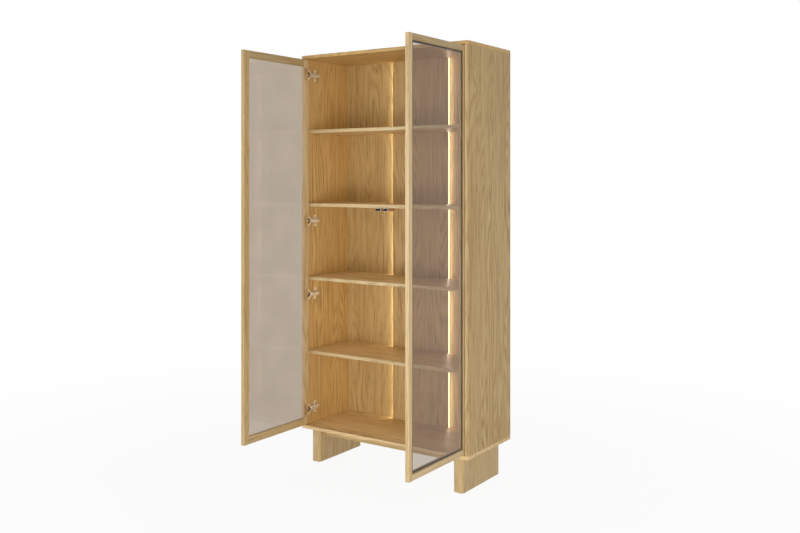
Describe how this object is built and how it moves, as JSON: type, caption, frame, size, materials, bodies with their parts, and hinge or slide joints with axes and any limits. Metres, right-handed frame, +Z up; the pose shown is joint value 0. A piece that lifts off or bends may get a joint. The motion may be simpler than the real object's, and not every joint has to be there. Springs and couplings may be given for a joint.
{
  "type": "bookcase",
  "caption": "Tall oak display bookcase with framed tinted-glass doors standing open, equal shelves, panel feet and lit strips beside a raised centre back board.",
  "frame": {"origin": "on the floor, under the middle of the whole with both doors standing open at 90 degrees", "axes": "+X to the right seen from the front, +Y from the front into the depth, +Z up"},
  "size_m": [0.95, 0.8396, 2],
  "materials": {
    "carcass": "clear-lacquered oak veneer, satin",
    "back": "clear-lacquered oak veneer, satin",
    "shelves": "clear-lacquered oak veneer, satin",
    "door_frame": "clear-lacquered solid oak, satin",
    "feet": "clear-lacquered solid oak, satin",
    "dowels": "plain beech",
    "glass": "bronze-tinted float glass, polished",
    "seal": "matt black-brown",
    "hinges": "nickel plated",
    "pins": "nickel plated",
    "screws": "zinc plated",
    "channel": "anodised",
    "tape": "white with diodes",
    "diffuser": "milky, lit from inside",
    "driver": "moulded, white",
    "lead": "white sheath",
    "glides": "brown polymer",
    "latch": "moulded, light grey",
    "plunger": "moulded, black"
  },
  "bodies": {
    "cabinet": {"back_panel": "back", "bottom_panel": "carcass", "carcass_dowels": "dowels", "centre_back_board": "carcass", "centre_board_screws": "screws", "floor_glides": "glides", "foot_dowels": "dowels", "front_foot_rail": "feet", "hinge_arm_screws": "screws", "hinge_plate_screws": "screws", "latch_housings": "latch", "latch_screws": "screws", "left_foot": "feet", "left_hinge_arms": "hinges", "left_hinge_plates": "hinges", "left_light_channel": "channel", "left_light_diffuser": "diffuser", "left_light_tape": "tape", "left_side_panel": "carcass", "light_driver": "driver", "light_driver_screws": "screws", "light_leads": "lead", "rail_dowels": "dowels", "rear_foot_rail": "feet", "right_foot": "feet", "right_hinge_arms": "hinges", "right_hinge_plates": "hinges", "right_light_channel": "channel", "right_light_diffuser": "diffuser", "right_light_tape": "tape", "right_side_panel": "carcass", "shelf_1": "shelves", "shelf_2": "shelves", "shelf_3": "shelves", "shelf_4": "shelves", "shelf_pins": "pins", "top_panel": "carcass"},
    "left_door": {"left_cup_screws": "screws", "left_door_bottom_rail": "door_frame", "left_door_dowels": "dowels", "left_door_free_stile": "door_frame", "left_door_glass": "glass", "left_door_glass_seal": "seal", "left_door_hinge_stile": "door_frame", "left_door_top_rail": "door_frame", "left_hinge_cups": "hinges", "left_hinge_pins": "pins"},
    "right_door": {"right_cup_screws": "screws", "right_door_bottom_rail": "door_frame", "right_door_dowels": "dowels", "right_door_free_stile": "door_frame", "right_door_glass": "glass", "right_door_glass_seal": "seal", "right_door_hinge_stile": "door_frame", "right_door_top_rail": "door_frame", "right_hinge_cups": "hinges", "right_hinge_pins": "pins"},
    "left_plunger": {"left_latch_plunger": "plunger"},
    "right_plunger": {"right_latch_plunger": "plunger"}
  },
  "joints": [
    {"name": "left_door_swing", "type": "hinge", "parent": "cabinet", "child": "left_door", "pos_m": [-0.4485, 0.02725, 1.0825], "axis": [0, 0, 1], "range_deg": [-10, 90]},
    {"name": "right_door_swing", "type": "hinge", "parent": "cabinet", "child": "right_door", "pos_m": [0.4485, 0.02725, 1.0825], "axis": [0, 0, -1], "range_deg": [-10, 90]},
    {"name": "left_plunger_slide", "type": "slide", "parent": "cabinet", "child": "left_plunger", "axis": [0, 1, 0], "range_m": [-0.0009, 0.008]},
    {"name": "right_plunger_slide", "type": "slide", "parent": "cabinet", "child": "right_plunger", "axis": [0, 1, 0], "range_m": [-0.0009, 0.008]}
  ],
  "couplings": [
    {"joint": "left_plunger_slide", "follows": "left_door_swing", "m_per_rad": 0.0050929},
    {"joint": "right_plunger_slide", "follows": "right_door_swing", "m_per_rad": 0.0050929}
  ]
}
